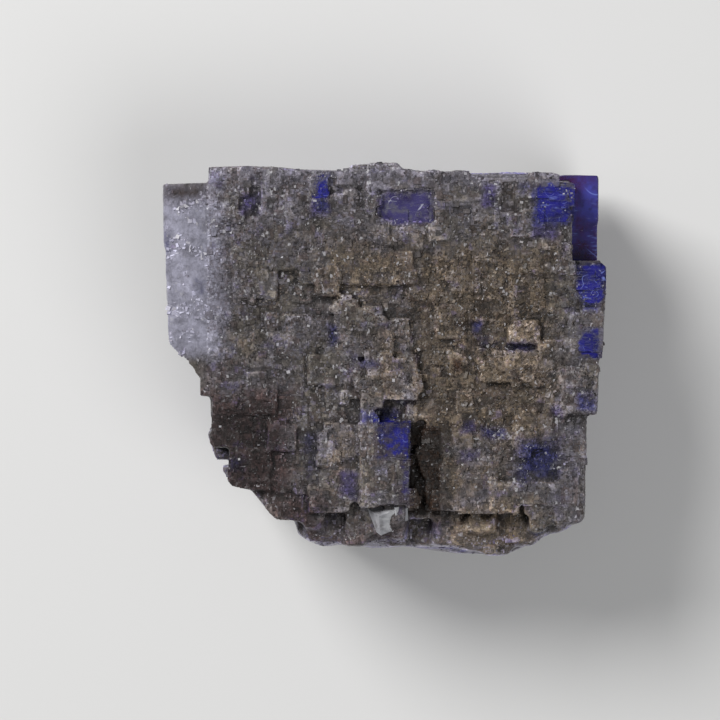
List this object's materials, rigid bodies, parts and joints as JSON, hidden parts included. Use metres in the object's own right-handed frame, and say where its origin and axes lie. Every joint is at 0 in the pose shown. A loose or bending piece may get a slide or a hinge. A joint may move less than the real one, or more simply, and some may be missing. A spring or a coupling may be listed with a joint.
{
  "type": "fluorite specimen",
  "caption": "Hand-sized piece of fluorite: intergrown cubes with a flat, stepped mosaic face, a thin clear slab at one corner and a broken back that it lies on.",
  "frame": {"origin": "on the surface that it lies on, under the middle of its outline", "axes": "+Z out of the display face, +X along its long side to the right of the viewer, +Y to its straight top edge"},
  "size_m": [0.042, 0.0376, 0.0199],
  "materials": {
    "fluorite": "granular grey and tan crust with clear glassy windows of deep blue and violet crystal"
  },
  "bodies": {
    "root": {"fluorite_specimen": "fluorite"}
  },
  "joints": []
}
